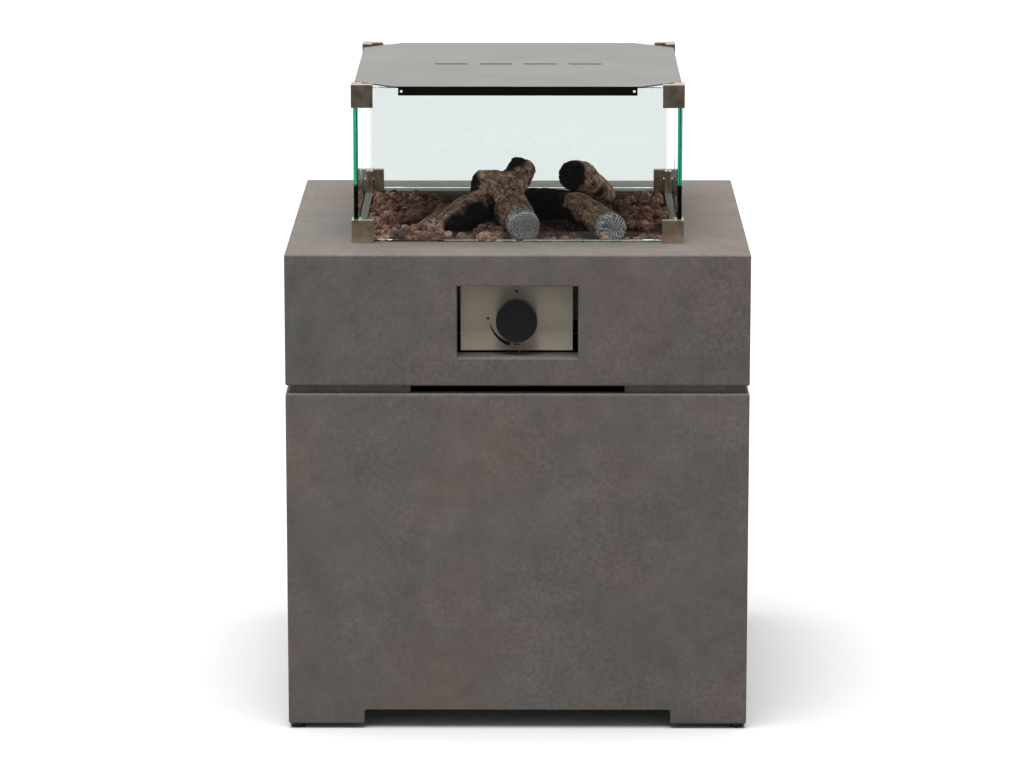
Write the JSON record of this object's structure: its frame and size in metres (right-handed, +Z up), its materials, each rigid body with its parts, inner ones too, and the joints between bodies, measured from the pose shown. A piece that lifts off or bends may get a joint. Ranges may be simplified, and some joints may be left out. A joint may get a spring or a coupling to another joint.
{
  "type": "column gas fire pit",
  "caption": "Square free-standing gas fire pit in fibre cement with a recessed push-and-turn knob, lava stones, ceramic logs, a glass guard on corner clamps and a lid.",
  "frame": {"origin": "on the floor under the centre of the square footprint", "axes": "+X to the right seen from the control side, +Y to the back, +Z up; the knob faces -Y"},
  "size_m": [0.5, 0.5, 0.699],
  "materials": {
    "fibre_cement": "matt cast grey-brown concrete look",
    "foot_plastic": "matt black",
    "galvanised_sheet": "galvanised",
    "screw_steel": "plain",
    "magnet_black": "moulded",
    "brushed_stainless": "fine brushed",
    "pan_stainless": "heat dulled",
    "valve_alloy": "die cast",
    "knob_black": "satin black",
    "igniter_plastic": "moulded",
    "brass": "turned",
    "copper_tube": "drawn copper",
    "silicone_lead": "silicone sleeve",
    "white_ceramic": "glazed white",
    "log_ceramic": "painted as charred wood",
    "lava_stone": "porous red-brown lava",
    "clear_glass": "clear toughened, green edges"
  },
  "bodies": {
    "root": {"base_cabinet": "fibre_cement", "upper_housing": "fibre_cement", "feet": "foot_plastic", "base_floor": "galvanised_sheet", "floor_screws": "screw_steel", "tie_straps": "galvanised_sheet", "strap_screws": "screw_steel", "door_pivots": "screw_steel", "door_magnet": "magnet_black", "control_panel": "brushed_stainless", "panel_screws": "screw_steel", "gas_valve": "valve_alloy", "valve_screws": "screw_steel", "valve_spring": "screw_steel", "piezo_igniter": "igniter_plastic", "gas_inlet": "brass", "gas_pipe": "copper_tube", "pipe_nuts": "brass", "injector": "brass", "mixer_tube": "pan_stainless", "burner_drum": "pan_stainless", "burner_locknut": "pan_stainless", "burner_pan": "pan_stainless", "pan_brackets": "galvanised_sheet", "bracket_screws": "screw_steel", "heat_shield": "galvanised_sheet", "shield_screws": "screw_steel", "igniter_electrode": "white_ceramic", "ignition_lead": "silicone_lead", "thermocouple": "copper_tube", "thermocouple_lead": "copper_tube", "probe_bridge": "galvanised_sheet", "probe_hood": "pan_stainless", "log_back": "log_ceramic", "log_left": "log_ceramic", "log_right": "log_ceramic", "log_forked": "log_ceramic", "log_leaning": "log_ceramic", "stone_bed": "lava_stone", "stone_pile": "lava_stone"},
    "door": {"rear_door": "fibre_cement", "door_keeper": "screw_steel"},
    "plunger": {"valve_plunger": "valve_alloy"},
    "knob": {"control_knob": "knob_black", "valve_spindle": "valve_alloy", "knob_grub_screw": "screw_steel"},
    "glass_guard": {"glass_front": "clear_glass", "glass_right": "clear_glass", "glass_rear": "clear_glass", "glass_left": "clear_glass", "lower_clamps": "brushed_stainless", "upper_clamps": "brushed_stainless", "clamp_screws": "screw_steel"},
    "lid": {"lid": "brushed_stainless"}
  },
  "joints": [
    {"name": "door_swing", "type": "hinge", "parent": "root", "child": "door", "pos_m": [0.1185, 0.2425, 0.2025], "axis": [0, 0, -1], "range_deg": [0, 110]},
    {"name": "knob_push", "type": "slide", "parent": "root", "child": "plunger", "axis": [0, 1, 0], "range_m": [0, 0.004], "stiffness_N_per_m": 800, "springref_m": -0.004, "deforming": ["valve_spring"]},
    {"name": "knob_turn", "type": "hinge", "parent": "plunger", "child": "knob", "pos_m": [-0.001, -0.225, 0.45], "axis": [0, -1, 0], "range_deg": [0, 180]},
    {"name": "glass_lift", "type": "slide", "parent": "root", "child": "glass_guard", "axis": [0, 0, 1], "range_m": [0, 0.25]},
    {"name": "lid_lift", "type": "slide", "parent": "glass_guard", "child": "lid", "axis": [0, 0, 1], "range_m": [0, 0.2]}
  ]
}
